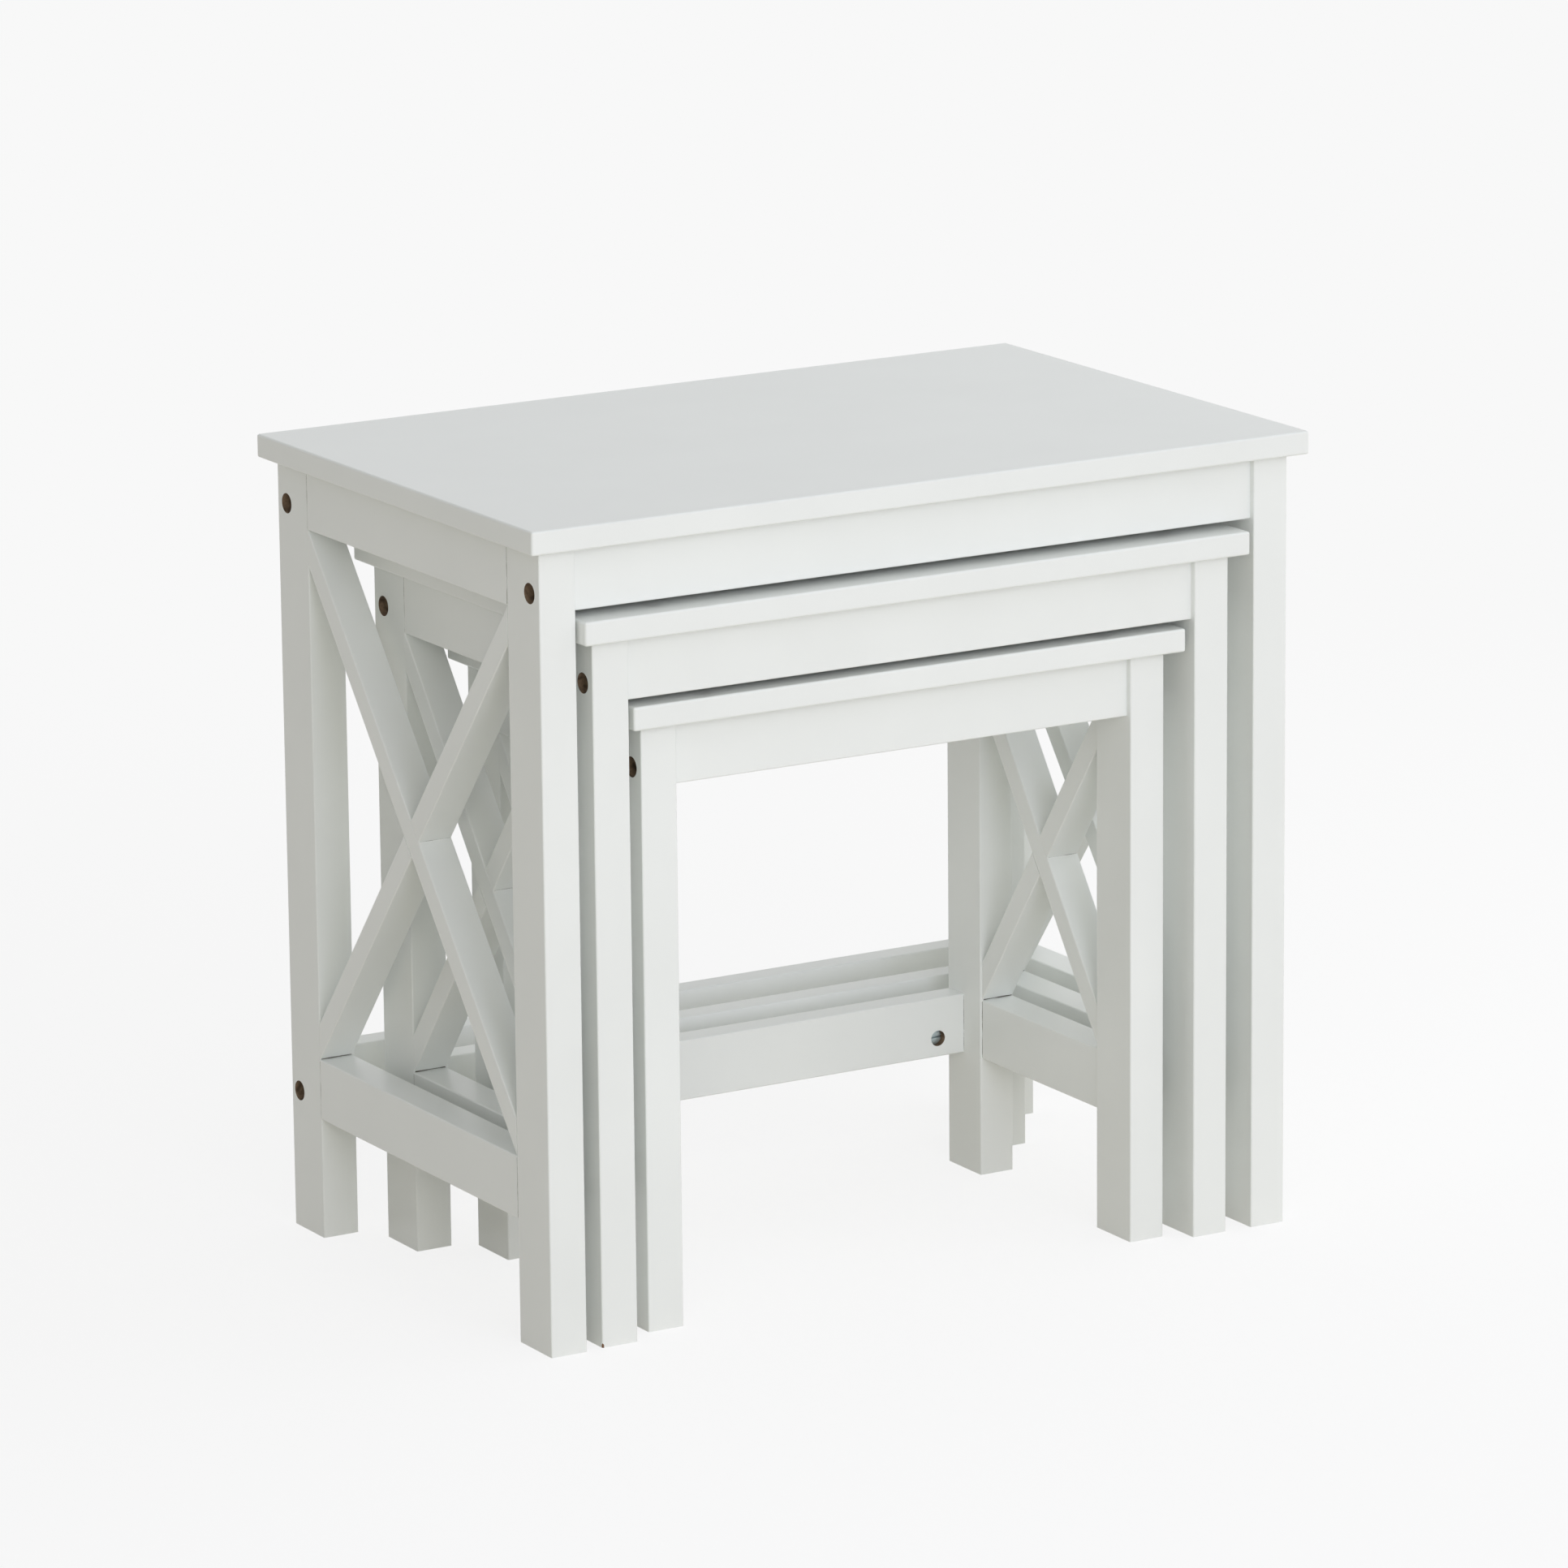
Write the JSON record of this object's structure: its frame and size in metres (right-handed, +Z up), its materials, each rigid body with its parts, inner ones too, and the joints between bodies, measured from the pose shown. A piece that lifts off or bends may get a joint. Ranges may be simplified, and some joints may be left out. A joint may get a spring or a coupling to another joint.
{
  "type": "nest of tables",
  "caption": "White nesting side tables with cross-braced side frames; each smaller table slides in and out under the next larger one.",
  "frame": {"origin": "on the floor under the middle of the large table's top", "axes": "+X to the right along the tables, +Y to the back, +Z up; the smaller tables pull out along -Y"},
  "size_m": [0.56, 0.358, 0.52],
  "materials": {
    "white_lacquer": "satin white lacquer",
    "zinc_steel": "zinc plated",
    "raw_beech": "raw"
  },
  "bodies": {
    "large_table": {"large_top": "white_lacquer", "large_front_left_leg": "white_lacquer", "large_front_right_leg": "white_lacquer", "large_rear_left_leg": "white_lacquer", "large_rear_right_leg": "white_lacquer", "large_left_upper_rail": "white_lacquer", "large_right_upper_rail": "white_lacquer", "large_left_lower_rail": "white_lacquer", "large_right_lower_rail": "white_lacquer", "large_left_long_brace": "white_lacquer", "large_right_long_brace": "white_lacquer", "large_left_short_braces": "white_lacquer", "large_right_short_braces": "white_lacquer", "large_front_apron": "white_lacquer", "large_rear_apron": "white_lacquer", "large_rear_stretcher": "white_lacquer", "large_bolts": "zinc_steel", "large_barrel_nuts": "zinc_steel", "large_top_screws": "zinc_steel", "large_dowels": "raw_beech"},
    "middle_table": {"middle_top": "white_lacquer", "middle_front_left_leg": "white_lacquer", "middle_front_right_leg": "white_lacquer", "middle_rear_left_leg": "white_lacquer", "middle_rear_right_leg": "white_lacquer", "middle_left_upper_rail": "white_lacquer", "middle_right_upper_rail": "white_lacquer", "middle_left_lower_rail": "white_lacquer", "middle_right_lower_rail": "white_lacquer", "middle_left_long_brace": "white_lacquer", "middle_right_long_brace": "white_lacquer", "middle_left_short_braces": "white_lacquer", "middle_right_short_braces": "white_lacquer", "middle_front_apron": "white_lacquer", "middle_rear_apron": "white_lacquer", "middle_rear_stretcher": "white_lacquer", "middle_bolts": "zinc_steel", "middle_barrel_nuts": "zinc_steel", "middle_top_screws": "zinc_steel", "middle_dowels": "raw_beech"},
    "small_table": {"small_top": "white_lacquer", "small_front_left_leg": "white_lacquer", "small_front_right_leg": "white_lacquer", "small_rear_left_leg": "white_lacquer", "small_rear_right_leg": "white_lacquer", "small_left_upper_rail": "white_lacquer", "small_right_upper_rail": "white_lacquer", "small_left_lower_rail": "white_lacquer", "small_right_lower_rail": "white_lacquer", "small_left_long_brace": "white_lacquer", "small_right_long_brace": "white_lacquer", "small_left_short_braces": "white_lacquer", "small_right_short_braces": "white_lacquer", "small_front_apron": "white_lacquer", "small_rear_apron": "white_lacquer", "small_rear_stretcher": "white_lacquer", "small_bolts": "zinc_steel", "small_barrel_nuts": "zinc_steel", "small_top_screws": "zinc_steel", "small_dowels": "raw_beech"}
  },
  "joints": [
    {"name": "middle_table_slide", "type": "slide", "parent": "large_table", "child": "middle_table", "axis": [0, -1, 0], "range_m": [-0.038, 0.32]},
    {"name": "small_table_slide", "type": "slide", "parent": "middle_table", "child": "small_table", "axis": [0, -1, 0], "range_m": [-0.027, 0.27]}
  ]
}
